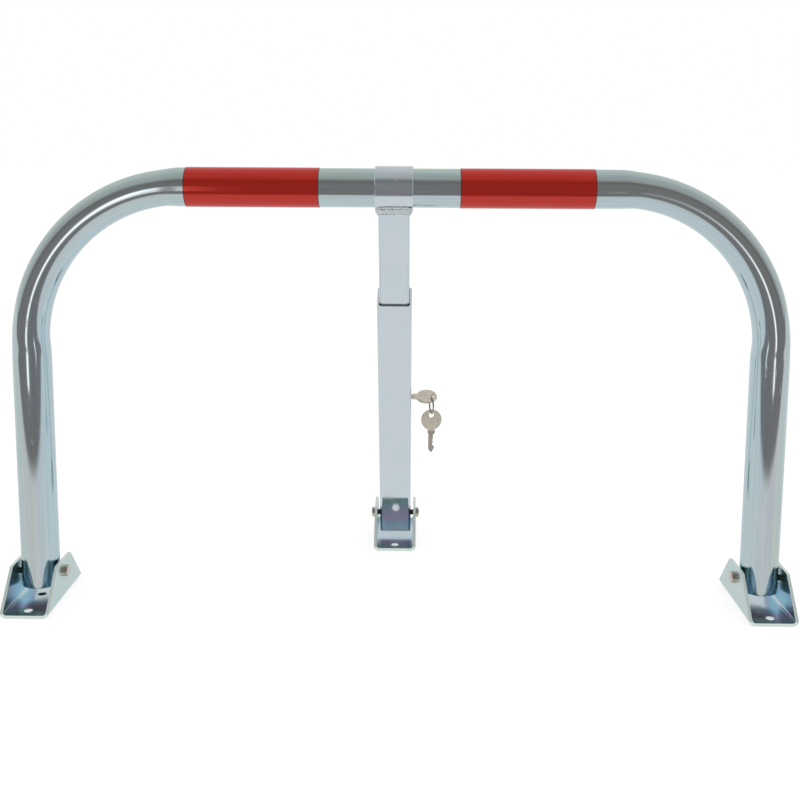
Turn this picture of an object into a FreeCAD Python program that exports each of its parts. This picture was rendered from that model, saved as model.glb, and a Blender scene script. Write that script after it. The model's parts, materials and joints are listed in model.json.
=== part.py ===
"""Folding parking hoop with a telescopic, lockable strut. Millimetres, +X right, +Y away, +Z up."""
import math
import os

import FreeCAD
import Part

V = FreeCAD.Vector
X, Y, Z = V(1, 0, 0), V(0, 1, 0), V(0, 0, 1)

# Driving dimensions
TUBE_R = 18.5            # hoop tube, 37 mm outside
TUBE_WALL = 2.0
LEG_SPACING = 716.0      # between the leg axes
BAR_Z = 411.0            # height of the bar's axis
BEND_R = 150.0           # centreline radius of the two bends
BEND_FLAT = 1.2          # bends are pressed flatter by this on each side
BEND_SWELL = 0.5         # and thicker by this, front and back
BEND_EASE = 10.0         # length over which the section changes
PIVOT_Z = 28.0           # height of all three pivots
LEG_BELOW = 12.0         # leg below its pivot
FOOT_OFFSET = 188.0      # centre foot behind the hoop

TAPE_LENGTH = 127.0
TAPE_THICK = 0.35
TAPE_GAP = 0.15          # left for the adhesive
TAPE_LEFT_IN = 4.5       # outer end of the left band, in from where the bar bends
TAPE_RIGHT_IN = 24.5     # and of the right band

SHEET = 3.0              # foot bracket
FOOT_WIDTH = 47.0
FOOT_LENGTH = 104.0
FOLD_R = 6.0             # outside radius of the folds
EAR_Z = 40.0
EAR_TOP = 40.0           # length of the ear's top edge
EAR_TIP_R = 3.0
ANCHOR_R = 4.25
ANCHOR_PITCH = 80.0

BOLT_R = 3.0
PIVOT_HOLE_R = 3.05
HEX = 10.0               # across flats
HEAD_H = 4.0
NUT_H = 3.2
BOLT_TIP = 0.8

STRUT_X = -6.0
OUTER = 35.0
INNER = 30.0
WALL = 2.0
OUTER_BELOW = 13.5       # outer tube below its pivot
OUTER_TOP = 302.5        # outer tube above its pivot
INNER_FROM = 8.0         # lower end of the inner tube above the pivot
COLLAR_BORE_R = 18.6
COLLAR_R = 20.7
COLLAR_WIDTH = 36.0
OPEN_GAP = 0.3           # between the strut's head and the collar
BEAD_LENGTH = 5.6        # of one weld bead

LOCK_S = 173.0           # lock axis above the strut's pivot
BARREL_R = 7.5
CORE_R = 5.5
CORE_GAP = 0.05
CORE_HEAD_R = 6.3
CORE_BACK = -4.5
CAM_THICK = 2.5
CAM_HALF = 3.5
CAM_REACH = 15.2
WAFER_X = (13.0, 10.0, 7.0, 4.0, 1.0)

KEY_THICK = 2.0
BLADE_HALF = 3.1
BOW_R = 11.25
BOW_HOLE_R = 3.0
BOW_HOLE_OFF = 5.3
KEY_STEM = 5.3           # bow stands off the tube's face by this
BLADE_LENGTH = 24.7
RING_R = 9.2
RING_WIRE_R = 0.9
RING_CLEAR = 0.38
RING_TURN = 12.0         # ring's plane turned about the vertical

# Derived positions
HOOP_Y = -FOOT_OFFSET / 2
STRUT_Y = FOOT_OFFSET / 2
REACH = BAR_Z - PIVOT_Z
LEAN = math.degrees(math.atan2(FOOT_OFFSET, REACH))
STRUT_LENGTH = math.hypot(REACH, FOOT_OFFSET)
TRAVEL = REACH + FOOT_OFFSET - STRUT_LENGTH
LEG_X = LEG_SPACING / 2
BAR_HALF = LEG_X - BEND_R  # straight part of the bar, each way
EAR_X = FOOT_WIDTH / 2
FACE_X = OUTER / 2


def box(x0, x1, y0, y1, z0, z1):
    return Part.makeBox(x1 - x0, y1 - y0, z1 - z0, V(x0, y0, z0))


def rod(radius, start, end):
    start, end = V(*start), V(*end)
    return Part.makeCylinder(radius, (end - start).Length, start, end - start)


def prism(points, along):
    """Solid from a closed polygon swept along a vector."""
    wire = Part.makePolygon([V(*p) for p in points] + [V(*points[0])])
    return Part.Face(wire).extrude(V(*along))


def fused(shapes):
    return shapes[0].fuse(shapes[1:]).removeSplitter()


def turned(shape, angle, axis, at):
    out = shape.copy()
    out.rotate(V(*at), axis, angle)
    return out


def strut_place(shape):
    """From the strut's own frame (Z along it, Y to its back, pivot at zero) to the part's frame."""
    out = turned(shape, LEAN, X, (0, 0, 0))
    out.translate(V(STRUT_X, STRUT_Y, PIVOT_Z))
    return out


def strut_point(x, y, z):
    turn = FreeCAD.Rotation(X, LEAN)
    return turn.multVec(V(x, y, z)) + V(STRUT_X, STRUT_Y, PIVOT_Z)


# Hoop
def tube_outline(inset, center, across, oval):
    """Tube's outline at a point of its centreline: a circle, or an oval flattened across the bend."""
    radius = TUBE_R - inset
    if oval:
        curve = Part.Ellipse(center + Y * (radius + BEND_SWELL), center + across * (radius - BEND_FLAT), center)
    else:
        curve = Part.Circle(center, across.cross(Y), radius)
        curve.XAxis = Y
    return Part.Wire(curve.toShape())


def tube_ring(center, across, oval=False):
    outer, bore = [Part.Face(tube_outline(inset, center, across, oval)) for inset in (0, TUBE_WALL)]
    return outer.cut(bore).Faces[0]


def tube_ease(round_at, round_across, oval_at, oval_across):
    """Short length in which the round tube turns into the flattened one."""
    outer, bore = [Part.makeLoft([tube_outline(inset, round_at, round_across, False),
                                  tube_outline(inset, oval_at, oval_across, True)], True, True)
                   for inset in (0, TUBE_WALL)]
    return outer.cut(bore)


def arch(end_z):
    """Bar, bends and legs as one tube; the bends are flattened as a pressed bend is."""
    turn_z = BAR_Z - BEND_R
    sweep = 90 - math.degrees(BEND_EASE / BEND_R)
    pieces = [tube_ring(V(-BAR_HALF, HOOP_Y, BAR_Z), Z).extrude(X * 2 * BAR_HALF)]
    for side in (-1, 1):
        out, hub = X * side, V(side * BAR_HALF, HOOP_Y, turn_z)
        turn = FreeCAD.Rotation(Y, -sweep * side)
        top, low = hub + out * BEND_R, hub + out * BEND_R - Z * BEND_EASE
        pieces.append(tube_ring(low, out).extrude(Z * (end_z - low.z)))
        pieces.append(tube_ease(low, out, top, out))
        pieces.append(tube_ring(top, out, True).revolve(hub, Y, -sweep * side))
        pieces.append(tube_ease(hub + Z * BEND_R, Z, hub + turn.multVec(out * BEND_R), turn.multVec(out)))
    return fused(pieces)


def hoop_tube():
    tube = arch(PIVOT_Z - LEG_BELOW)
    for side in (-1, 1):
        at = side * LEG_X
        tube = tube.cut(rod(PIVOT_HOLE_R, (at - 25, HOOP_Y, PIVOT_Z), (at + 25, HOOP_Y, PIVOT_Z)))
    return tube


def reflective_band(x0):
    inside = TUBE_R + TAPE_GAP
    band = rod(inside + TAPE_THICK, (x0, HOOP_Y, BAR_Z), (x0 + TAPE_LENGTH, HOOP_Y, BAR_Z))
    return band.cut(rod(inside, (x0 - 1, HOOP_Y, BAR_Z), (x0 + TAPE_LENGTH + 1, HOOP_Y, BAR_Z)))


# Feet
def fold_block(half, top, bottom, radius, length):
    """Upright block with its two lower edges rounded, as a folded channel has."""
    block = box(-half, half, -length / 2, length / 2, bottom, top)
    edges = [e for e in block.Edges
             if abs(e.BoundBox.ZMax - bottom) < 1e-6 and e.BoundBox.YLength > length - 1e-6]
    return block.makeFillet(radius, edges)


def foot_bracket(x, y, middle_hole):
    half_length, half_top = FOOT_LENGTH / 2, EAR_TOP / 2
    channel = fold_block(EAR_X, EAR_Z, 0, FOLD_R, FOOT_LENGTH)
    channel = channel.cut(fold_block(EAR_X - SHEET, EAR_Z + 1, SHEET, FOLD_R - SHEET, FOOT_LENGTH + 2))
    outline = [(-EAR_X - 1, -half_length, -1), (-EAR_X - 1, -half_length, SHEET + 1.5),
               (-EAR_X - 1, -half_top, EAR_Z), (-EAR_X - 1, half_top, EAR_Z),
               (-EAR_X - 1, half_length, SHEET + 1.5), (-EAR_X - 1, half_length, -1)]
    side = prism(outline, (FOOT_WIDTH + 2, 0, 0))
    tips = [e for e in side.Edges
            if e.BoundBox.XLength > FOOT_WIDTH and abs(e.BoundBox.ZMax - EAR_Z) < 1e-6]
    foot = channel.common(side.makeFillet(EAR_TIP_R, tips))
    holes = [-ANCHOR_PITCH / 2, ANCHOR_PITCH / 2] + ([0.0] if middle_hole else [])
    for hole_y in holes:
        foot = foot.cut(rod(ANCHOR_R, (0, hole_y, -1), (0, hole_y, SHEET + 4)))
    foot = foot.cut(rod(PIVOT_HOLE_R, (-30, 0, PIVOT_Z), (30, 0, PIVOT_Z)))
    foot.translate(V(x, y, 0))
    return foot


def hexagon(x0, height, both):
    """Hexagon along +X from x0, its corners turned down at the outer face or at both."""
    corner = HEX / math.sqrt(3)
    points = [(x0, corner * math.cos(k * math.pi / 3), corner * math.sin(k * math.pi / 3)) for k in range(6)]
    body = prism(points, (height, 0, 0))
    slope = math.tan(math.radians(30))
    face_r = HEX / 2 * 0.96
    run = (corner + 1 - face_r) * slope
    cone_in = Part.makeCone(face_r, corner + 1, run, V(x0, 0, 0), X)
    keep = cone_in.fuse(rod(corner + 1, (x0 + run, 0, 0), (x0 + height + 1, 0, 0)))
    body = body.common(keep)
    if both:
        cone_out = Part.makeCone(face_r, corner + 1, run, V(x0 + height, 0, 0), V(-1, 0, 0))
        keep = cone_out.fuse(rod(corner + 1, (x0 - 1, 0, 0), (x0 + height - run, 0, 0)))
        body = body.common(keep)
    return body


def pivot_bolt():
    """Head on the left, shank along +X, about the pivot."""
    head = hexagon(-EAR_X - HEAD_H, HEAD_H, False)
    tip = EAR_X + NUT_H + BOLT_TIP
    shank = rod(BOLT_R, (-EAR_X, 0, 0), (tip - 0.8, 0, 0))
    point = Part.makeCone(BOLT_R, BOLT_R - 0.6, 0.8, V(tip - 0.8, 0, 0), X)
    return fused([head, shank, point])


def pivot_nut():
    nut = hexagon(EAR_X, NUT_H, True)
    return nut.cut(rod(BOLT_R + 0.03, (EAR_X - 1, 0, 0), (EAR_X + NUT_H + 1, 0, 0)))


def at_pivot(shape, x, y, mirrored):
    out = turned(shape, 180, Z, (0, 0, 0)) if mirrored else shape.copy()
    out.translate(V(x, y, PIVOT_Z))
    return out


# Strut, in its own frame
def square_bar(side, radius, z0, z1):
    bar = box(-side / 2, side / 2, -side / 2, side / 2, z0, z1)
    return bar.makeFillet(radius, [e for e in bar.Edges if e.BoundBox.ZLength > z1 - z0 - 1e-6])


def square_tube(side, z0, z1):
    return square_bar(side, 3.0, z0, z1).cut(square_bar(side - 2 * WALL, 1.0, z0 - 1, z1 + 1))


def strut_outer_tube():
    tube = square_tube(OUTER, -OUTER_BELOW, OUTER_TOP)
    tube = tube.cut(rod(PIVOT_HOLE_R, (-25, 0, 0), (25, 0, 0)))
    return tube.cut(rod(BARREL_R + 0.02, (12, 0, LOCK_S), (25, 0, LOCK_S)))


def cam_window(z):
    """Opening in the back wall of the inner tube that the turned cam reaches through."""
    middle = CORE_BACK - 0.2 - CAM_THICK / 2
    return box(middle - 2.3, middle + 2.3, INNER / 2 - WALL - 0.5, INNER / 2 + 1, z - CAM_HALF - 0.6, z + 12.0)


def strut_inner_tube():
    tube = square_tube(INNER, INNER_FROM, STRUT_LENGTH - 5)
    cope = COLLAR_R + OPEN_GAP
    tube = tube.cut(rod(cope, (-30, 0, STRUT_LENGTH), (30, 0, STRUT_LENGTH)))
    slot_r = BARREL_R + 0.5
    low, high = LOCK_S - TRAVEL - 0.3, LOCK_S + 0.3
    x0, x1 = INNER / 2 - WALL - 1.5, INNER / 2 + 1
    slot = fused([box(x0, x1, -slot_r, slot_r, low, high),
                  rod(slot_r, (x0, 0, low), (x1, 0, low)), rod(slot_r, (x0, 0, high), (x1, 0, high))])
    return tube.cut(slot).cut(cam_window(LOCK_S)).cut(cam_window(LOCK_S - TRAVEL))


def strut_collar():
    half = COLLAR_WIDTH / 2
    ring = rod(COLLAR_R, (STRUT_X - half, HOOP_Y, BAR_Z), (STRUT_X + half, HOOP_Y, BAR_Z))
    ring = ring.makeChamfer(0.5, [e for e in ring.Edges if len(e.Vertexes) == 1])
    return ring.cut(rod(COLLAR_BORE_R, (STRUT_X - 40, HOOP_Y, BAR_Z), (STRUT_X + 40, HOOP_Y, BAR_Z)))


def weld_bead(center, along, radius):
    """One short barrel of weld metal, lying along the seam."""
    return Part.makeCylinder(radius, BEAD_LENGTH, center - along * (BEAD_LENGTH / 2), along)


def weld_beads():
    """Overlapping beads along the coped edge, of uneven height and width as laid by hand."""
    lift = (0.0, 0.5, -0.4, 0.3, -0.6, 0.6, -0.2)
    swell = (0.1, -0.2, 0.3, 0.0, 0.25, -0.15, 0.35)
    half, seam_r, count = INNER / 2, COLLAR_R + 1.8, len(lift)
    seam_y = half + 1.0
    drop = math.sqrt((COLLAR_R + OPEN_GAP) ** 2 - seam_y ** 2) + 2.1
    beads = []
    for side in (-1, 1):
        for k in range(count):
            j = (k + 1 + side) % count
            at = 2 * k / (count - 1) - 1
            center = V(13.6 * at, side * seam_y, STRUT_LENGTH - drop + 0.7 * lift[j])
            beads.append(weld_bead(center, X, 3.6 + 0.8 * swell[j]))
            angle = math.radians(38 * at)
            center = V(side * (half - 0.3), seam_r * math.sin(angle), STRUT_LENGTH - seam_r * math.cos(angle))
            center = center + Z * 0.5 * lift[j]
            beads.append(weld_bead(center, V(0, math.cos(angle), math.sin(angle)), 2.8 + 0.5 * swell[j]))
    return beads


def collar_weld():
    beads = weld_beads()
    weld = beads[0].fuse(beads[1:])
    weld = weld.cut(square_bar(INNER, 3.0, STRUT_LENGTH - 40, STRUT_LENGTH + 5))
    weld = weld.cut(rod(COLLAR_R + OPEN_GAP, (-40, 0, STRUT_LENGTH), (40, 0, STRUT_LENGTH)))
    return max(weld.Solids, key=lambda solid: solid.Volume)


# Lock, in the strut's frame
def lock_housing():
    z = LOCK_S
    barrel = rod(BARREL_R, (CORE_BACK + 0.2, 0, z), (FACE_X, 0, z))
    barrel = barrel.cut(rod(CORE_R + CORE_GAP, (CORE_BACK - 1, 0, z), (FACE_X + 1, 0, z)))
    barrel = barrel.cut(rod(CORE_HEAD_R + CORE_GAP, (FACE_X - 1.5, 0, z), (FACE_X + 1, 0, z)))
    groove = box(-1, 15, -CORE_R - 1.1, CORE_R + 1.1, z - 2.95, z + 2.95)
    return barrel.cut(groove)


def lock_plug():
    z = LOCK_S
    core = rod(CORE_R, (CORE_BACK, 0, z), (FACE_X - 1, 0, z))
    head = rod(CORE_HEAD_R, (FACE_X - 1.45, 0, z), (FACE_X - 0.2, 0, z))
    boss = box(CORE_BACK - 2.6, CORE_BACK + 0.5, -3, 3, z - 3, z + 3)
    plug = fused([core, head, boss])
    plug = plug.cut(box(-2.5, FACE_X + 1, -BLADE_HALF - 0.3, BLADE_HALF + 0.3, z - 1.3, z + 1.3))
    for x in WAFER_X:
        plug = plug.cut(box(x - 0.55, x + 0.55, -CORE_R - 1, CORE_R + 1, z - 2.85, z + 2.85))
    return plug.cut(rod(1.65, (CORE_BACK - 4, 0, z), (CORE_BACK + 1.2, 0, z)))


def lock_wafers():
    z = LOCK_S
    plates = []
    for x in WAFER_X:
        plate = box(x - 0.45, x + 0.45, -4.4, 4.4, z - 2.7, z + 2.7)
        plates.append(plate.cut(box(x - 1, x + 1, -3.45, 3.45, z - 1.35, z + 1.35)))
    return Part.makeCompound(plates)


def lock_cam():
    z = LOCK_S
    x1 = CORE_BACK - 0.2
    x0 = x1 - CAM_THICK
    tongue = box(x0, x1, -CAM_HALF, CAM_HALF, z, z + CAM_REACH + 2)
    tongue = tongue.common(rod(CAM_REACH, (x0 - 1, 0, z), (x1 + 1, 0, z)))
    cam = fused([rod(6.5, (x0, 0, z), (x1, 0, z)), tongue])
    return cam.cut(box(x0 - 1, x1 + 1, -3.03, 3.03, z - 3.03, z + 3.03))


def cam_screw():
    z = LOCK_S
    under = CORE_BACK - 0.25 - CAM_THICK
    head = rod(4.4, (under - 2.2, 0, z), (under, 0, z))
    head = head.cut(box(under - 3, under - 1.2, -5, 5, z - 0.5, z + 0.5))
    return fused([head, rod(1.6, (under - 0.1, 0, z), (CORE_BACK + 1.0, 0, z))])


# Keys, about the point where the blade leaves the bow; the blade along -X, flat in XY
def key():
    half = KEY_THICK / 2
    bow = Part.makeCylinder(BOW_R, KEY_THICK, V(BOW_R, 0, -half))
    bow = bow.makeChamfer(0.35, [e for e in bow.Edges if len(e.Vertexes) == 1])
    stem = box(-3.6, 2.5, -3.9, 3.9, -half, half)
    w, n = BLADE_HALF, BLADE_LENGTH
    edge = [(1, -w), (1, w), (-4.2, w), (-6.0, w - 1.3), (-8.4, w - 1.3), (-9.2, w - 0.5), (-10.4, w - 1.9),
            (-12.4, w - 1.9), (-13.4, w - 0.9), (-14.8, w - 2.2), (-16.6, w - 2.2), (-18.0, w - 0.3),
            (-20.4, w - 0.3), (-n, 0.2), (-n, -0.5), (-n + 3.0, -w)]
    blade = prism([(x, y, -half) for x, y in edge], (0, 0, KEY_THICK))
    whole = fused([bow, stem, blade])
    whole = whole.cut(Part.makeCylinder(BOW_HOLE_R, 4, V(BOW_R + BOW_HOLE_OFF, 0, -2)))
    for face in (-1, 1):
        z0 = half - 0.45 if face > 0 else -half - 1
        whole = whole.cut(box(-n - 1, -2.2, -1.9 * face - 0.6, -1.9 * face + 0.6, z0, z0 + 1.45))
    return whole


def key_in_lock():
    out = key()
    out.translate(V(FACE_X + KEY_STEM, 0, LOCK_S))
    return strut_place(out)


def ring_frame():
    """Centre of the hanging ring, its flat direction and its normal."""
    rim = math.sqrt(BOW_R ** 2 - BOW_HOLE_OFF ** 2)
    strip_half = (rim - BOW_HOLE_R) / 2
    inner = RING_R - RING_WIRE_R - RING_CLEAR
    drop = math.sqrt(inner ** 2 - strip_half ** 2) - KEY_THICK / 2
    hole_x = FACE_X + KEY_STEM + BOW_R + BOW_HOLE_OFF
    center = strut_point(hole_x, -(BOW_HOLE_R + strip_half), LOCK_S - drop)
    turn = FreeCAD.Rotation(Z, RING_TURN)
    return center, turn.multVec(Y), turn.multVec(X)


def key_ring():
    center, _, normal = ring_frame()
    return Part.makeTorus(RING_R, RING_WIRE_R, center, normal)


def spare_key():
    """Hangs on the ring's lowest point with its blade down and its flat towards the front."""
    center, along, _ = ring_frame()
    out = key()
    rest = BOW_HOLE_R - RING_WIRE_R - RING_CLEAR
    out.translate(V(-BOW_R - BOW_HOLE_OFF - rest, 0, 0))
    out.rotate(V(0, 0, 0), X, -90)
    out.rotate(V(0, 0, 0), Y, -90)
    out.rotate(V(0, 0, 0), Z, RING_TURN)
    out.translate(center - Z * RING_R)
    return out


def build():
    bolt, nut = pivot_bolt(), pivot_nut()
    feet = {"left": (-LEG_X, HOOP_Y, True), "right": (LEG_X, HOOP_Y, False), "center": (STRUT_X, STRUT_Y, False)}
    parts = {
        "hoop_tube": hoop_tube(),
        "reflective_band_left": reflective_band(-BAR_HALF + TAPE_LEFT_IN),
        "reflective_band_right": reflective_band(BAR_HALF - TAPE_RIGHT_IN - TAPE_LENGTH),
        "strut_outer_tube": strut_place(strut_outer_tube()),
        "strut_inner_tube": strut_place(strut_inner_tube()),
        "strut_collar": strut_collar(),
        "collar_weld": strut_place(collar_weld()),
        "lock_housing": strut_place(lock_housing()),
        "lock_plug": strut_place(lock_plug()),
        "lock_wafers": strut_place(lock_wafers()),
        "lock_cam": strut_place(lock_cam()),
        "cam_screw": strut_place(cam_screw()),
        "key_in_lock": key_in_lock(),
        "key_ring": key_ring(),
        "spare_key": spare_key(),
    }
    for name, (x, y, mirrored) in feet.items():
        parts["foot_bracket_" + name] = foot_bracket(x, y, name == "left")
        parts["pivot_bolt_" + name] = at_pivot(bolt, x, y, mirrored)
        parts["pivot_nut_" + name] = at_pivot(nut, x, y, mirrored)
    return parts


os.makedirs("parts", exist_ok=True)
for node, shape in build().items():
    shape.exportStep("parts/" + node + ".step")
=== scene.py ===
"""Look of the parking hoop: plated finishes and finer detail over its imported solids."""
import json
import math

import bpy
from mathutils import Matrix, Vector, noise

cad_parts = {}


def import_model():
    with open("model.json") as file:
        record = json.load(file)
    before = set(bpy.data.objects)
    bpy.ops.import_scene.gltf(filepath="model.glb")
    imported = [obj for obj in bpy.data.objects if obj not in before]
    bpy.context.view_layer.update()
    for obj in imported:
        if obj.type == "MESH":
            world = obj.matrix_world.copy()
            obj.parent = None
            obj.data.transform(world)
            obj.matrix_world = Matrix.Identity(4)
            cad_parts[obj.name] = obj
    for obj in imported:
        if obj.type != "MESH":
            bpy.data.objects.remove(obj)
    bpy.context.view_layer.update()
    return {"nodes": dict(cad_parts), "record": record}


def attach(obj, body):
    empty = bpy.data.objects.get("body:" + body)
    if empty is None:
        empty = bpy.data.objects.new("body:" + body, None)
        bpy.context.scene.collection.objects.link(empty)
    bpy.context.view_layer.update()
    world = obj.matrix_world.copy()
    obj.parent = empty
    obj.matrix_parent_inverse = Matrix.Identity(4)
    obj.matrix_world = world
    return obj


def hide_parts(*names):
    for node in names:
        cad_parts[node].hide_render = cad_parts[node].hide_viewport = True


# Camera fitted to the photograph: metres, degrees, and pixels of the frame for the focal length
CAMERA_AT = (0.0126, -1.1277, 0.4449)
CAMERA_YAW = -0.690
CAMERA_PITCH = 7.984
CAMERA_ROLL = -0.304
FOCAL_PIXELS = 1083.3
FRAME_PIXELS = 800
SENSOR_MM = 36
SHIFT_Y = -0.12
CLIP_END = 100

# Foot brackets, in metres: middles, half widths, the corners of the ears and the pivots' height
FOOT_MIDDLES_X = (-0.358, -0.006, 0.358)
FOOT_Y = 0.094
PIVOT_Z = 0.028
ANCHOR_HALF_PITCH = 0.040
ANCHOR_R = 0.00425
SHEET = 0.003
FOOT_HALF_X = 0.0235
FOOT_HALF_Y = 0.052
EAR_HALF_TOP = 0.020
EAR_FOOT_Z = 0.0045
EAR_Z = 0.040

# Hoop's centreline and tube; the bends are pressed flatter on both sides and swell across
HOOP_Y = -FOOT_Y
LEG_END_Z = 0.016
BAR_HALF = 0.208
BEND_Z = 0.261
BEND_R = 0.150
BEND_TO = BAR_HALF + BEND_R * math.pi / 2
BEND_FLAT = 0.0012
BEND_SWELL = 0.0005
TUBE_R = 0.0185
TUBE_WALL = 0.002

# Lengths of the changes of section, and how far before the bend's lower end they start
EASE_FROM_BAR = 0.02
OUTER_EASE = 0.06
OUTER_EASE_BEFORE = 0.03
INNER_EASE = 0.018
INNER_EASE_BEFORE = 0.005

# Facets of the hoop's skin: close on the bend and a little way into the leg
TUBE_SIDES = 96
BEND_STATIONS = 110
BEND_BEYOND = 0.035
BAR_STATION = 0.004
LEG_STATION = 0.06

# Bands of tape: middles, half length, the rim darkened at their ends and where the left one is creased
TAPE_MIDDLES = (-0.140, 0.120)
TAPE_HALF = 0.0635
TAPE_RIM_FROM = 0.0012
TAPE_RIM_FULL = 0.0004
CREASE_X = (-0.172, -0.200)

# Where the spare key's blade leaves its bow; below it the blade takes painted shade for its milled grooves
SPARE_BLADE_Z = 0.1475
BLADE_FADE = 0.0015

# Strut's line from its pivot to the bar, and its coped head
STRUT_FOOT = Vector((FOOT_MIDDLES_X[1], FOOT_Y, PIVOT_Z))
STRUT_LINE = Vector((FOOT_MIDDLES_X[1], HOOP_Y, BEND_Z + BEND_R)) - STRUT_FOOT
STRUT_LENGTH = STRUT_LINE.length
STRUT_AXIS = STRUT_LINE.normalized()
STRUT_BACK = Vector((0, STRUT_AXIS.z, -STRUT_AXIS.y))
INNER_HALF = 0.015
INNER_CORNER = 0.003
COLLAR_R = 0.0207
COLLAR_FROM_Z = 0.385
COLLAR_FULL_Z = 0.39

# Weld bead: gap to the collar, reach and drop, then its unevenness and the steps of its mesh
WELD_GAP = 0.0002
WELD_OUT = 0.003
WELD_DROP = 0.0062
WELD_ROOT = 0.0003
WELD_TOE = 0.0002
WELD_BULGE = 0.0004
WELD_RUN = 0.0005
WELD_GRIT = 0.0006
WELD_SWAY = 0.0012
WELD_CURVE = 1.2
WELD_RUNS = 3
RUN_SHIFT = 0.8
SWAY_STEP = 0.21
SWAY_ROW = 1.7
GRIT_STEP = 0.35
GRIT_RISE = 5
GRIT_ROW = 4.2
WELD_STEPS = 14
WELD_PER_SIDE = 36
WELD_PER_CORNER = 8

# Rounding of sharp edges
SHEET_ROUNDING = 0.0004
PIECE_ROUNDING = 0.0003
ROUNDING_SEGMENTS = 2
ROUNDING_ANGLE = 40

# Tints of the tube: zinc with painted reflection hues from the inner to the outer side of the bends, cyan
# inside, greyer and a little darker in the middle, green outside; and in stripes along it
TUBE_TINTS_AND_REFLECTIONS = ((0.10, (0.525, 0.665, 0.70)), (0.50, (0.545, 0.59, 0.61)), (0.92, (0.53, 0.66, 0.64)))
TUBE_SHEEN = ((0.36, (0.97, 1.02, 1.01)), (0.47, (1.03, 1.02, 0.98)),
              (0.58, (1.01, 0.975, 1.01)), (0.66, (0.97, 1.0, 1.04)))
TUBE_SHADE = (0.93, 1.05)
TUBE_ROUGHNESS = (0.05, 0.10)

# Patterns along the tube: scale, detail and how much of its length counts
STREAKS = (420, 3, 0.02)
NICKS_AND_GLINTS = (900, 2, 0.09)
STRIPES = (170, 1, 0.012)

# Scuffs on the legs, partly real wear and partly painted glints of the lamp: heights, scale and detail of
# the patches, and where a noise counts as a mark
SCUFFS_FROM_Z = 0.34
SCUFFS_FULL_Z = 0.28
PATCHES = (14, 2)
PATCH_SPAN = (0.50, 0.62)
NICK_SPAN = (0.62, 0.72)
NICK_SHARE = 0.6
TUBE_SCUFF_GLINT = (0.9, 0.92, 0.92)
TUBE_SCUFF_ROUGHNESS = 0.5

# Strut: its hues and wear, each noise by scale and detail, and the scuffs on its collar
STRUT_TINTS = ((0.35, (0.645, 0.74, 0.805)), (0.5, (0.665, 0.745, 0.795)), (0.65, (0.685, 0.745, 0.785)))
STRUT_HUES = (22, 2)
STRUT_WEAR = (45, 3)
STRUT_ROUGHNESS = (0.06, 0.13)
COLLAR_LINES = (900, 3)
COLLAR_LINE_STRETCH = 0.35
COLLAR_LINE_SPAN = (0.63, 0.72)
COLLAR_SCUFF = (0.85, 0.9, 0.92)
COLLAR_SCUFF_ROUGHNESS = 0.4

# Feet: bed from its ends to its middle, passivation hues with painted reflection, dark at the ends and
# light in the middle; ears from foot to top with painted shade, darker to their tops; outer skin, cut
# edges, hole walls with painted light and shade
BED_TINTS_AND_REFLECTION = ((0.0, (0.24, 0.40, 0.37)), (0.24, (0.36, 0.50, 0.54)), (0.5, (0.66, 0.54, 0.74)),
             (0.70, (0.52, 0.74, 0.90)), (1.0, (0.72, 0.87, 0.94)))
BED_MIDDLE = 0.012
BED_CLOUDS = (32, 2)
BED_CLOUD_SHARE = 0.9
# Ears: passivation hues with painted shade, darker towards their tops
EAR_TINTS_AND_SHADE = ((0.0, (1.0, 1.0, 1.0)), (0.12, (0.66, 0.95, 1.0)),
             (0.45, (0.62, 0.80, 0.82)), (0.8, (0.40, 0.48, 0.47)))
EAR_TINTS_FROM_Z = 0.004
SKIN_TINTS = ((0.35, (0.49, 0.67, 0.65)), (0.5, (0.52, 0.67, 0.66)), (0.65, (0.56, 0.67, 0.67)))
SKIN_HUES = (30, 2)
SHEET_WEAR = (60, 3)
SHEET_ROUGHNESS = (0.16, 0.26)
CUT_EDGE = (0.74, 0.84, 0.80)
# Painted light on the anchor holes' walls, painted shade in the middle hole
PAINTED_LIT_WALL = (0.80, 0.86, 0.86)
PAINTED_SHADE_WALL = (0.02, 0.025, 0.03)

# How far from an edge, a hole's wall, the sheet's top or an ear's inner face a tint starts and is full; the
# hole walls take painted light and shade, and the shank past the ear's inner face painted shade
EDGE_FROM = 0.0006
EDGE_FULL = 0.0002
WALL_FROM = 0.0005
WALL_FULL = 0.0002
WALL_TOP_FROM = 0.0001
WALL_TOP_FULL = 0.0003
SHANK_FROM = 0.0004
SHANK_FULL = 0.0002

# Tints of the small pieces, each noise by scale and detail
WELD_TINTS = ((0.34, (0.30, 0.32, 0.33)), (0.44, (0.60, 0.65, 0.67)), (0.65, (0.68, 0.73, 0.75)))
WELD_HUES = (420, 3)
WELD_BUMPS = (1500, 4)
GRAIN_DEPTH = 0.0003
TAPE_BUMPS = (900, 2)
TAPE_RED = (0.50, 0.012, 0.001)
TAPE_RIM = (0.16, 0.02, 0.015)
TAPE_GLANCE = (1, 0.25, 0.18)
TAPE_GRAIN = 0.03
CREASE_GRAIN = 0.30
BOLT_HEAD = (0.60, 0.52, 0.45)
# Painted shade on the bolts' shanks between the ears
BOLT_SHANK_SHADE = (0.05, 0.048, 0.05)
KEY_TINTS = ((0.36, (0.66, 0.61, 0.51)), (0.5, (0.73, 0.675, 0.575)), (0.64, (0.78, 0.72, 0.61)))
KEY_HUES = (240, 3)
KEY_WEAR = (500, 3)
KEY_ROUGHNESS = (0.20, 0.28)
# Painted shade down the spare key's blade, for its milled grooves
KEY_BLADE_GROOVE_SHADE = 0.62
RING_STEEL = (0.46, 0.42, 0.38)
LOCK_BRASS = (0.70, 0.56, 0.30)
LOCK_BODY = (0.45, 0.46, 0.47)

# Most of a noise lies in this span, about this middle
NOISE_SPAN = (0.3, 0.7)
NOISE_MIDDLE = 0.5

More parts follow.
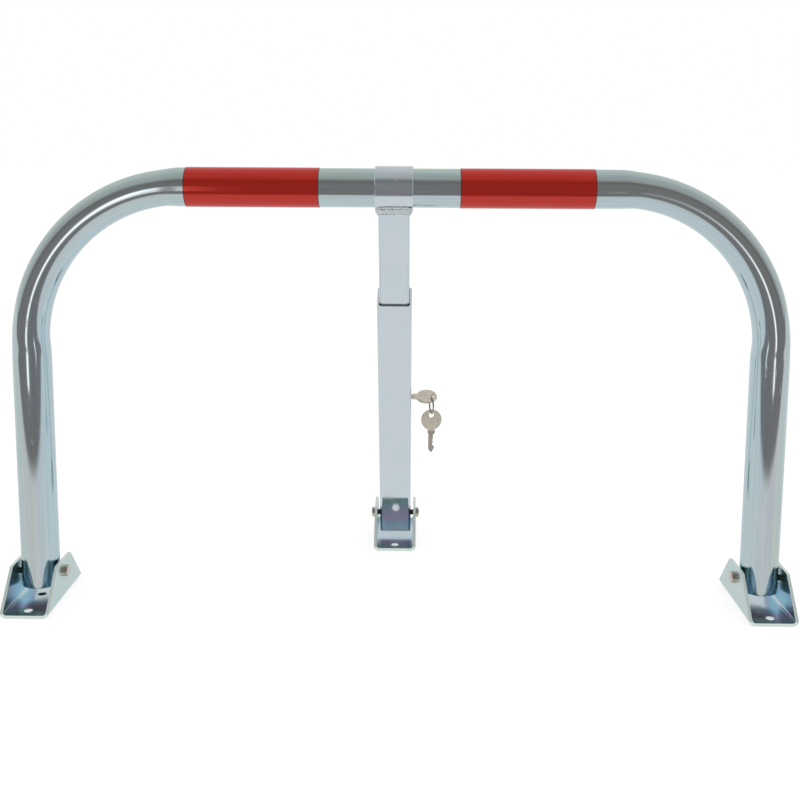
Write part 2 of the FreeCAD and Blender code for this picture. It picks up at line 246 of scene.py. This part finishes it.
# Floor: lit up to an edge in front of the hoop, as the reflections in the photograph show it
FLOOR_HALF = 30
FLOOR_Z = -0.0004
FLOOR_EDGE = -0.535
FLOOR_FADE_BEFORE = 0.12
FLOOR_FADE_BEHIND = 0.03
LIT_FLOOR = (0.81, 0.81, 0.81)
DARK_FLOOR = (0.26, 0.245, 0.25)
CAMERA_FLOOR = (1.06, 1.06, 1.06)
FLOOR_PAPER = (0.9, 0.9, 0.9)
FLOOR_GLOW_SHARE = 0.75

# Painted shadow on the floor, a dark spot below the left foot's middle hole
SPOT_HALF = 0.006
SPOT_FADE = 0.001
SPOT_SHADOW = (0.012, 0.014, 0.02)

# Room: grey by share of the half turn from behind the camera over the top, and tint by radians
ROOM = ((0.0, 0.27), (0.12, 0.25), (0.22, 0.21), (0.255, 0.26), (0.305, 0.45), (0.39, 0.52),
        (0.49, 0.57), (0.58, 0.64), (0.71, 0.70))
ROOM_WARMTH = ((0.6, (1.05, 0.99, 0.97)), (1.0, (1.0, 1.0, 1.0)))
ROOM_ASIDE = 0.3
WHITE = (1, 1, 1)

# Upright lamps beside the camera: x, lower and upper end, reach of the glow, strength
LAMPS = ((-0.52, 0.02, 0.40, 0.27, 2.4), (0.56, 0.02, 0.16, 0.24, 2.3))
LAMP_Y = -1.12
LAMP_FALLOFF = 3.0

# Lamp overhead
TOP_LAMP_AT = Vector((0.3, -0.6, 2.2))
TOP_LAMP_TARGET = Vector((0, 0, 0.1))
TOP_LAMP_SIZE = (2.4, 1.6)
TOP_LAMP_WATTS = 12

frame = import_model()
nodes = frame["nodes"]


class Graph:
    """A node tree with short ways to add and join nodes. Colours are three numbers."""

    def __init__(self, tree):
        self.tree = tree

    def add(self, kind, inputs=(), **settings):
        node = self.tree.nodes.new("ShaderNode" + kind)
        for key, value in settings.items():
            setattr(node, key, value)
        for key, value in dict(inputs).items():
            self.feed(node.inputs[key], value)
        return node

    def feed(self, socket, value):
        if isinstance(value, bpy.types.NodeSocket):
            self.tree.links.new(value, socket)
        elif value is not None:
            socket.default_value = (*value, 1) if socket.type == "RGBA" else value

    def xyz(self, vector):
        return self.add("SeparateXYZ", {0: vector}).outputs

    def place(self):
        """Place on the piece at rest, in metres."""
        return self.xyz(self.add("TexCoord").outputs["Object"])

    def math(self, operation, a, b=None):
        return self.add("Math", {0: a, 1: b}, operation=operation).outputs[0]

    def hypot(self, a, b):
        squares = [self.math("MULTIPLY", side, side) for side in (a, b)]
        return self.math("SQRT", self.math("ADD", *squares))

    def span(self, value, low, high, to_low=0.0, to_high=1.0, smooth=False):
        """Value brought from one range to another, and held at its ends."""
        inputs = {"Value": value, "From Min": low, "From Max": high, "To Min": to_low, "To Max": to_high}
        kind = "SMOOTHSTEP" if smooth else "LINEAR"
        return self.add("MapRange", inputs, interpolation_type=kind).outputs["Result"]

    def ramp(self, value, stops):
        node = self.add("ValToRGB", {"Fac": value})
        elements = node.color_ramp.elements
        while len(elements) < len(stops):
            elements.new(0.5)
        for element, (at, colour) in zip(elements, stops):
            element.position = at
            element.color = (*colour, 1)
        return node.outputs["Color"]

    def noise(self, scale, detail=2.0, vector=None):
        vector = vector or self.add("TexCoord").outputs["Object"]
        return self.add("TexNoise", {"Vector": vector, "Scale": scale, "Detail": detail}).outputs["Fac"]

    def mottle(self, pattern, low, high):
        """Noise brought to a range."""
        return self.span(pattern, *NOISE_SPAN, low, high)

    def mix(self, one, other, share, kind="MIX"):
        """One colour, giving way to the other by share."""
        node = self.add("Mix", data_type="RGBA", blend_type=kind)
        first, second = [socket for socket in node.inputs if socket.type == "RGBA"]
        self.feed(node.inputs["Factor"], share)
        self.feed(first, one)
        self.feed(second, other)
        return next(socket for socket in node.outputs if socket.type == "RGBA")

    def tint(self, colour, factor):
        """Colour times another one or a grey factor."""
        return self.mix(colour, factor, 1.0, "MULTIPLY")


def finish(name, inputs):
    """Material with one shader, whose inputs are worked out on the material's graph."""
    material = bpy.data.materials.new(name)
    material.use_nodes = True
    graph = Graph(material.node_tree)
    shader = material.node_tree.nodes["Principled BSDF"]
    for key, value in inputs(graph).items():
        graph.feed(shader.inputs[key], value)
    return material


def nearest(graph, value, middles):
    """Distance to the nearest of some middles."""
    gaps = [graph.math("ABSOLUTE", graph.math("SUBTRACT", value, middle)) for middle in middles]
    least = gaps[0]
    for gap in gaps[1:]:
        least = graph.math("MINIMUM", least, gap)
    return least


# Finishes
def tube_place(graph):
    """Place in the bent tube: out from its centreline in the hoop's plane, across it and along it."""
    x, y, z = graph.place()
    corner_x = graph.math("MAXIMUM", graph.math("SUBTRACT", graph.math("ABSOLUTE", x), BAR_HALF), 0.0)
    corner_z = graph.math("MAXIMUM", graph.math("SUBTRACT", z, BEND_Z), 0.0)
    from_hub = graph.hypot(corner_x, corner_z)
    return graph.math("SUBTRACT", from_hub, BEND_R), y, graph.math("ADD", x, z)


def along_tube(graph, place, pattern):
    """Noise that is drawn out along the tube."""
    scale, detail, share = pattern
    out, across, length = place
    drawn = graph.add("CombineXYZ", {0: out, 1: across, 2: graph.math("MULTIPLY", length, share)})
    return graph.noise(scale, detail, drawn.outputs[0])


def zinc_tube(graph):
    """Bright zinc with painted reflection hues across the tube, stripes and streaks along it, and scuffs in
    patches on the legs, partly real wear and partly painted glints.
    """
    place = tube_place(graph)
    streaks = along_tube(graph, place, STREAKS)
    # Painted reflection hues across the tube: cyan inside the bends, greyer and darker in the middle, green
    # outside
    base = graph.ramp(graph.span(place[0], -TUBE_R, TUBE_R), TUBE_TINTS_AND_REFLECTIONS)
    sheen = graph.ramp(along_tube(graph, place, STRIPES), TUBE_SHEEN)
    colour = graph.tint(graph.tint(base, sheen), graph.mottle(streaks, *TUBE_SHADE))
    low = graph.span(graph.place()[2], SCUFFS_FROM_Z, SCUFFS_FULL_Z)
    patches = graph.math("MULTIPLY", graph.span(graph.noise(*PATCHES), *PATCH_SPAN), low)
    nicks_and_glints = graph.span(along_tube(graph, place, NICKS_AND_GLINTS), *NICK_SPAN, 0.0, NICK_SHARE)
    # Scuffs on the legs: rougher real wear, lightened as painted glints of the lamp
    scuffs = graph.math("MULTIPLY", nicks_and_glints, patches)
    rough = graph.mottle(streaks, *TUBE_ROUGHNESS)
    return {"Metallic": 1.0, "Base Color": graph.mix(colour, TUBE_SCUFF_GLINT, scuffs),
            "Roughness": graph.math("ADD", rough, graph.math("MULTIPLY", scuffs, TUBE_SCUFF_ROUGHNESS))}


def zinc_strut(graph):
    """Even zinc on the strut, scuffed on the collar."""
    x, y, z = graph.place()
    hue = graph.ramp(graph.noise(*STRUT_HUES), STRUT_TINTS)
    drawn = graph.add("CombineXYZ", {0: graph.math("MULTIPLY", x, COLLAR_LINE_STRETCH), 1: y, 2: z})
    lines = graph.span(graph.noise(*COLLAR_LINES, drawn.outputs[0]), *COLLAR_LINE_SPAN)
    scuffs = graph.math("MULTIPLY", lines, graph.span(z, COLLAR_FROM_Z, COLLAR_FULL_Z))
    rough = graph.mottle(graph.noise(*STRUT_WEAR), *STRUT_ROUGHNESS)
    return {"Metallic": 1.0, "Base Color": graph.mix(hue, COLLAR_SCUFF, scuffs),
            "Roughness": graph.math("ADD", rough, graph.math("MULTIPLY", scuffs, COLLAR_SCUFF_ROUGHNESS))}


def cut_edges(graph, along, z):
    """1 on the sheet's cut edges: ends, tops and slopes of the ears."""
    run, rise = FOOT_HALF_Y - EAR_HALF_TOP, EAR_Z - EAR_FOOT_Z
    length = math.hypot(run, rise)
    end = graph.math("SUBTRACT", along, FOOT_HALF_Y)
    top = graph.math("SUBTRACT", z, EAR_Z)
    slope = graph.math("ADD", graph.math("MULTIPLY", end, rise / length),
                       graph.math("MULTIPLY", graph.math("SUBTRACT", z, EAR_FOOT_Z), run / length))
    edge = graph.math("MAXIMUM", slope, graph.math("MAXIMUM", end, top))
    return graph.span(edge, -EDGE_FROM, -EDGE_FULL)


def hole_walls(graph, across, along, z, middle):
    """1 on the walls of the holes so far from the foot's middle."""
    off = graph.hypot(across, graph.math("SUBTRACT", along, middle))
    inside = graph.span(off, ANCHOR_R + WALL_FROM, ANCHOR_R + WALL_FULL)
    below = graph.span(z, SHEET - WALL_TOP_FROM, SHEET - WALL_TOP_FULL)
    return graph.math("MULTIPLY", inside, below)


def zinc_sheet(graph):
    """Rainbow passivation inside the feet, with painted reflection on the bed and painted shade up the
    ears; plain zinc outside and on the cut edges; painted light and shade on the hole walls.
    """
    x, y, z = graph.place()
    across = nearest(graph, x, FOOT_MIDDLES_X)
    along = nearest(graph, y, (-FOOT_Y, FOOT_Y))
    cloud = graph.math("SUBTRACT", graph.noise(*BED_CLOUDS), NOISE_MIDDLE)
    cloud = graph.math("MULTIPLY", cloud, BED_CLOUD_SHARE)
    # Painted reflection on the bed: dark at its ends, light in its middle under the tube, with passivation
    # hues and clouds
    bed = graph.ramp(graph.math("ADD", graph.span(along, FOOT_HALF_Y, BED_MIDDLE), cloud), BED_TINTS_AND_REFLECTION)
    # Painted shade up the ears, darker towards their tops
    ears = graph.ramp(graph.span(z, EAR_TINTS_FROM_Z, EAR_Z), EAR_TINTS_AND_SHADE)
    skin = graph.ramp(graph.noise(*SKIN_HUES), SKIN_TINTS)
    outside = graph.span(across, FOOT_HALF_X - EDGE_FROM, FOOT_HALF_X - EDGE_FULL)
    colour = graph.mix(graph.tint(bed, ears), skin, outside)
    colour = graph.mix(colour, CUT_EDGE, cut_edges(graph, along, z))
    # Painted light on the walls of the anchor holes and painted shade in the middle hole
    colour = graph.mix(colour, PAINTED_LIT_WALL, hole_walls(graph, across, along, z, ANCHOR_HALF_PITCH))
    colour = graph.mix(colour, PAINTED_SHADE_WALL, hole_walls(graph, across, along, z, 0.0))
    return {"Metallic": 0.88, "Base Color": colour,
            "Roughness": graph.mottle(graph.noise(*SHEET_WEAR), *SHEET_ROUGHNESS)}


def weld(graph):
    bumps = graph.noise(*WELD_BUMPS)
    grain = graph.add("Bump", {"Strength": 0.4, "Distance": GRAIN_DEPTH, "Height": bumps})
    return {"Metallic": 1.0, "Base Color": graph.ramp(graph.noise(*WELD_HUES), WELD_TINTS),
            "Roughness": 0.28, "Normal": grain.outputs[0]}


def red_tape(graph):
    """Glossy red tape, darkened at the rim of its ends, creased at the left end where the bend starts."""
    x = graph.place()[0]
    rim = graph.span(nearest(graph, x, TAPE_MIDDLES), TAPE_HALF - TAPE_RIM_FROM, TAPE_HALF - TAPE_RIM_FULL)
    crease = graph.span(x, *CREASE_X, TAPE_GRAIN, CREASE_GRAIN)
    bumps = graph.noise(*TAPE_BUMPS)
    grain = graph.add("Bump", {"Strength": crease, "Distance": GRAIN_DEPTH, "Height": bumps})
    return {"Metallic": 0.68, "Base Color": graph.mix(TAPE_RED, TAPE_RIM, rim), "Roughness": 0.12,
            "Specular IOR Level": 0.0, "Specular Tint": TAPE_GLANCE, "Coat Weight": 1.0,
            "Coat Roughness": 0.1, "Normal": grain.outputs[0]}


def zinc_fastener(graph):
    """Plated heads, with painted shade on the shank between the ears."""
    inner = FOOT_HALF_X - SHEET
    across = nearest(graph, graph.place()[0], FOOT_MIDDLES_X)
    shank = graph.span(across, inner + SHANK_FROM, inner - SHANK_FULL)
    return {"Metallic": 1.0, "Base Color": graph.mix(BOLT_HEAD, BOLT_SHANK_SHADE, shank), "Roughness": 0.22}


def nickel_key(graph):
    """Worn nickel, with painted shade down the spare key's blade for its milled grooves."""
    worn = graph.ramp(graph.noise(*KEY_HUES), KEY_TINTS)
    blade = graph.span(graph.place()[2], SPARE_BLADE_Z, SPARE_BLADE_Z - BLADE_FADE, 1.0, KEY_BLADE_GROOVE_SHADE)
    return {"Metallic": 1.0, "Base Color": graph.tint(worn, blade),
            "Roughness": graph.mottle(graph.noise(*KEY_WEAR), *KEY_ROUGHNESS)}


def plain_metal(colour, roughness):
    return lambda graph: {"Metallic": 1.0, "Base Color": colour, "Roughness": roughness}


FINISHES = {
    "zinc_tube": zinc_tube,
    "zinc_strut": zinc_strut,
    "zinc_sheet": zinc_sheet,
    "weld": weld,
    "red_tape": red_tape,
    "zinc_fastener": zinc_fastener,
    "nickel_key": nickel_key,
    "steel_ring": plain_metal(RING_STEEL, 0.18),
    "lock_brass": plain_metal(LOCK_BRASS, 0.3),
    "lock_body": plain_metal(LOCK_BODY, 0.35),
}


def dress():
    """Gives each node the finish that its record names."""
    made = {name: finish(name, inputs) for name, inputs in FINISHES.items()}
    for entry in frame["record"]["subparts"]:
        thing = nodes[entry["node"]]
        thing.data.materials.clear()
        thing.data.materials.append(made[entry["material_slot"]])
    return made


# Detail
def add_object(name, vertices, faces, material, smooth=False):
    mesh = bpy.data.meshes.new(name)
    mesh.from_pydata(vertices, [], faces)
    mesh.polygons.foreach_set("use_smooth", [smooth] * len(faces))
    mesh.materials.append(material)
    thing = bpy.data.objects.new(name, mesh)
    bpy.context.collection.objects.link(thing)
    return thing


def smooth_step(value):
    value = max(0.0, min(1.0, value))
    return value * value * (3 - 2 * value)


def hoop_place(length):
    """Place on the hoop's centreline so far right of the bar's middle, and the way out of the bend."""
    turn = max(0.0, min(math.pi / 2, (length - BAR_HALF) / BEND_R))
    out = Vector((math.sin(turn), 0, math.cos(turn)))
    place = Vector((min(length, BAR_HALF), HOOP_Y, BEND_Z)) + out * BEND_R
    return place - Vector((0, 0, max(0.0, length - BEND_TO))), out


def flatness(length):
    """How far the bend is pressed flat on its outer and its inner side."""
    start = smooth_step((length - BAR_HALF) / EASE_FROM_BAR)
    outer = smooth_step((length - BEND_TO + OUTER_EASE_BEFORE) / OUTER_EASE)
    inner = smooth_step((length - BEND_TO + INNER_EASE_BEFORE) / INNER_EASE)
    return start * (1 - outer), start * (1 - inner)


def half_path():
    """Stations of the hoop from the bar's middle to its right foot: place, way out and flatness."""
    bend = BEND_TO + BEND_BEYOND - BAR_HALF
    lengths = [0.0, BAR_HALF / 2, BAR_HALF - BAR_STATION]
    lengths += [BAR_HALF + bend * k / BEND_STATIONS for k in range(BEND_STATIONS + 1)]
    lengths += [BEND_TO + LEG_STATION, BEND_TO + BEND_Z - LEG_END_Z]
    return [(*hoop_place(length), flatness(length)) for length in lengths]


def tube_rings(path, radius):
    rings = []
    for place, out, (outer, inner) in path:
        wide = radius + BEND_SWELL * inner
        for k in range(TUBE_SIDES):
            angle = 2 * math.pi * k / TUBE_SIDES
            high = radius - BEND_FLAT * (outer if angle < math.pi else inner)
            across = Vector((0, wide * math.cos(angle), 0))
            rings.append(place + across + out * (high * math.sin(angle)))
    return rings


def hoop_skin(material):
    """Hoop's tube with even facets, so that its bends mirror the room without ripples."""
    right = half_path()
    left = [(Vector((-p.x, p.y, p.z)), Vector((-o.x, o.y, o.z)), flat) for p, o, flat in right[:0:-1]]
    path = left + right
    points = tube_rings(path, TUBE_R) + tube_rings(path[::-1], TUBE_R - TUBE_WALL)
    rings = 2 * len(path)
    faces = []
    for ring in range(rings):
        here, there = ring * TUBE_SIDES, (ring + 1) % rings * TUBE_SIDES
        faces += [(here + k, here + (k + 1) % TUBE_SIDES, there + (k + 1) % TUBE_SIDES, there + k)
                  for k in range(TUBE_SIDES)]
    skin = add_object("hoop_skin", points, faces, material, smooth=True)
    ends = (0, len(path) - 1, len(path), rings - 1)
    for edge in skin.data.edges:
        one, other = [vertex // TUBE_SIDES for vertex in edge.vertices]
        edge.use_edge_sharp = one == other and one in ends
    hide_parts("hoop_tube")
    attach(skin, "hoop")


def head_outline():
    """Points and outward directions round the inner tube, which has rounded corners."""
    flat = INNER_HALF - INNER_CORNER
    places = []
    for quarter in range(4):
        turn = Matrix.Rotation(quarter * math.pi / 2, 2)
        for k in range(WELD_PER_SIDE):
            spot = Vector((INNER_HALF, flat * (2 * k / WELD_PER_SIDE - 1)))
            places.append((turn @ spot, turn @ Vector((1, 0))))
        for k in range(WELD_PER_CORNER):
            angle = math.pi / 2 * k / WELD_PER_CORNER
            away = Vector((math.cos(angle), math.sin(angle)))
            places.append((turn @ (Vector((flat, flat)) + away * INNER_CORNER), turn @ away))
    return places


def weld_point(place, away, out, drop):
    """Point so far out from the tube's wall and below the collar."""
    spot = place + away * out
    along = STRUT_LENGTH - math.sqrt((COLLAR_R + WELD_GAP) ** 2 - spot.y ** 2) - drop
    return STRUT_FOOT + Vector((spot.x, 0, 0)) + STRUT_BACK * spot.y + STRUT_AXIS * along


def weld_section(place, away, seed):
    """Uneven fillet from the tube's wall up to the collar, laid in a few runs."""
    wave = noise.noise(Vector((seed * SWAY_STEP, SWAY_ROW, 0)))
    loop = [weld_point(place, away, -WELD_ROOT, WELD_ROOT)]
    for step in range(WELD_STEPS + 1):
        rise = step / WELD_STEPS
        grit = noise.noise(Vector((seed * GRIT_STEP, rise * GRIT_RISE, GRIT_ROW)))
        runs = abs(math.sin(WELD_RUNS * math.pi * rise + RUN_SHIFT * wave))
        bulge = WELD_BULGE + WELD_RUN * runs + WELD_GRIT * grit
        out = WELD_OUT * rise + math.sin(math.pi * rise) * bulge
        drop = (WELD_DROP + WELD_SWAY * wave) * (1 - rise) ** WELD_CURVE
        loop.append(weld_point(place, away, out - WELD_TOE * (step == 0), drop))
    return loop


def weld_ring(material):
    """Weld round the strut's coped head, in place of its plain solid."""
    loops = [weld_section(place, away, seed) for seed, (place, away) in enumerate(head_outline())]
    points = [point for loop in loops for point in loop]
    count, size = len(loops), len(loops[0])
    faces = []
    for k in range(count):
        here, there = k * size, (k + 1) % count * size
        faces += [(here + j, there + j, there + (j + 1) % size, here + (j + 1) % size) for j in range(size)]
    ring = add_object("weld_ring", points, faces, material, smooth=True)
    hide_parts("collar_weld")
    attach(ring, "strut_inner")


def soften(width, *names):
    """Small rounding on the sharp edges of these nodes."""
    for name in names:
        bevel = nodes[name].modifiers.new("edges", "BEVEL")
        bevel.width = width
        bevel.segments = ROUNDING_SEGMENTS
        bevel.limit_method = "ANGLE"
        bevel.angle_limit = math.radians(ROUNDING_ANGLE)


# Studio
def new_material(name):
    material = bpy.data.materials.new(name)
    material.use_nodes = True
    material.node_tree.nodes.clear()
    return material, Graph(material.node_tree)


def blend_output(graph, share, one, other):
    """Surface of one shader, giving way to the other by share."""
    mix = graph.add("MixShader", {0: share, 1: one.outputs[0], 2: other.outputs[0]})
    graph.add("OutputMaterial", {"Surface": mix.outputs[0]})


def floor():
    """White to its front edge in reflections and all over to the camera, with the object's shadow and a
    painted shadow spot below the left foot's middle hole.
    """
    material, graph = new_material("floor")
    path = graph.add("LightPath").outputs
    x, y, _ = graph.xyz(graph.add("NewGeometry").outputs["Position"])
    lit = graph.span(y, FLOOR_EDGE - FLOOR_FADE_BEFORE, FLOOR_EDGE + FLOOR_FADE_BEHIND, smooth=True)
    mirrored = graph.mix(DARK_FLOOR, LIT_FLOOR, lit)
    # Painted shadow: a dark spot below the left foot's middle hole, seen by the camera
    off_shadow_spot = [nearest(graph, x, FOOT_MIDDLES_X[:1]), nearest(graph, y, (HOOP_Y,))]
    clear = graph.math("MAXIMUM", *[graph.span(off, SPOT_HALF, SPOT_HALF + SPOT_FADE) for off in off_shadow_spot])
    shown = graph.mix(mirrored, graph.mix(SPOT_SHADOW, CAMERA_FLOOR, clear), path["Is Camera Ray"])
    glow_share = graph.span(clear, 0.0, 1.0, 1.0, FLOOR_GLOW_SHARE)
    seen = graph.math("MULTIPLY", path["Is Camera Ray"], glow_share)
    paper = graph.add("BsdfDiffuse", {"Color": FLOOR_PAPER})
    glow = graph.add("Emission", {"Color": shown})
    blend_output(graph, graph.math("ADD", path["Is Glossy Ray"], seen), paper, glow)
    half, z = FLOOR_HALF, FLOOR_Z
    corners = [(-half, -half, z), (half, -half, z), (half, half, z), (-half, half, z)]
    add_object("floor", corners, [(0, 1, 2, 3)], material)


def world():
    """White to the camera; to reflections a light ceiling and back, and a dark room behind the camera."""
    sky = bpy.data.worlds.new("studio")
    bpy.context.scene.world = sky
    sky.use_nodes = True
    sky.node_tree.nodes.clear()
    graph = Graph(sky.node_tree)
    path = graph.add("LightPath").outputs
    x, y, z = graph.xyz(graph.add("TexCoord").outputs["Generated"])
    rise = graph.hypot(z, graph.math("MULTIPLY", x, ROOM_ASIDE))
    height = graph.math("ARCTAN2", rise, graph.math("MULTIPLY", y, -1.0))
    greys = [(at, (grey, grey, grey)) for at, grey in ROOM]
    room = graph.tint(graph.ramp(graph.span(height, 0.0, math.pi), greys), graph.ramp(height, ROOM_WARMTH))
    glow = graph.add("Background", {"Color": graph.mix(WHITE, room, path["Is Glossy Ray"])})
    graph.add("OutputWorld", {"Surface": glow.outputs[0]})


def lamp_strip(x, low, high, reach, strength):
    """Soft upright lamp beside the camera, seen as the bright line along a bend."""
    material, graph = new_material("lamp_strip")
    place = graph.xyz(graph.add("NewGeometry").outputs["Position"])
    aside = graph.math("SUBTRACT", place["X"], x)
    from_middle = nearest(graph, place["Z"], ((low + high) / 2,))
    beyond = graph.math("MAXIMUM", graph.math("SUBTRACT", from_middle, (high - low) / 2), 0.0)
    share = graph.math("POWER", graph.span(graph.hypot(aside, beyond), reach, 0.0), LAMP_FALLOFF)
    blend_output(graph, share, graph.add("BsdfTransparent"), graph.add("Emission", {"Strength": strength}))
    left, right, foot, head = x - reach, x + reach, low - reach, high + reach
    corners = [(left, LAMP_Y, foot), (right, LAMP_Y, foot), (right, LAMP_Y, head), (left, LAMP_Y, head)]
    card = add_object("lamp_strip", corners, [(0, 1, 2, 3)], material)
    card.visible_camera = card.visible_diffuse = card.visible_shadow = False


def top_lamp():
    lamp = bpy.data.lights.new("top", "AREA")
    lamp.shape = "RECTANGLE"
    lamp.size, lamp.size_y = TOP_LAMP_SIZE
    lamp.energy = TOP_LAMP_WATTS
    thing = bpy.data.objects.new("top", lamp)
    thing.location = TOP_LAMP_AT
    thing.rotation_euler = (TOP_LAMP_TARGET - TOP_LAMP_AT).to_track_quat("-Z", "Y").to_euler()
    thing.visible_glossy = False
    bpy.context.collection.objects.link(thing)


def camera():
    lens = bpy.data.cameras.new("camera")
    lens.sensor_fit = "HORIZONTAL"
    lens.sensor_width = SENSOR_MM
    lens.lens = SENSOR_MM * FOCAL_PIXELS / FRAME_PIXELS
    lens.shift_y = SHIFT_Y
    lens.clip_end = CLIP_END
    thing = bpy.data.objects.new("camera", lens)
    turn = (Matrix.Rotation(math.radians(-CAMERA_YAW), 4, "Z")
            @ Matrix.Rotation(math.radians(90 - CAMERA_PITCH), 4, "X")
            @ Matrix.Rotation(math.radians(-CAMERA_ROLL), 4, "Z"))
    thing.matrix_world = Matrix.Translation(Vector(CAMERA_AT)) @ turn
    bpy.context.collection.objects.link(thing)
    bpy.context.scene.camera = thing


finishes = dress()
hoop_skin(finishes["zinc_tube"])
weld_ring(finishes["weld"])
soften(SHEET_ROUNDING, "foot_bracket_left", "foot_bracket_right", "foot_bracket_center")
soften(PIECE_ROUNDING, "strut_outer_tube", "strut_collar", "key_in_lock", "spare_key")
floor()
world()
for lamp in LAMPS:
    lamp_strip(*lamp)
top_lamp()
camera()
bpy.context.scene.view_settings.view_transform = "Standard"
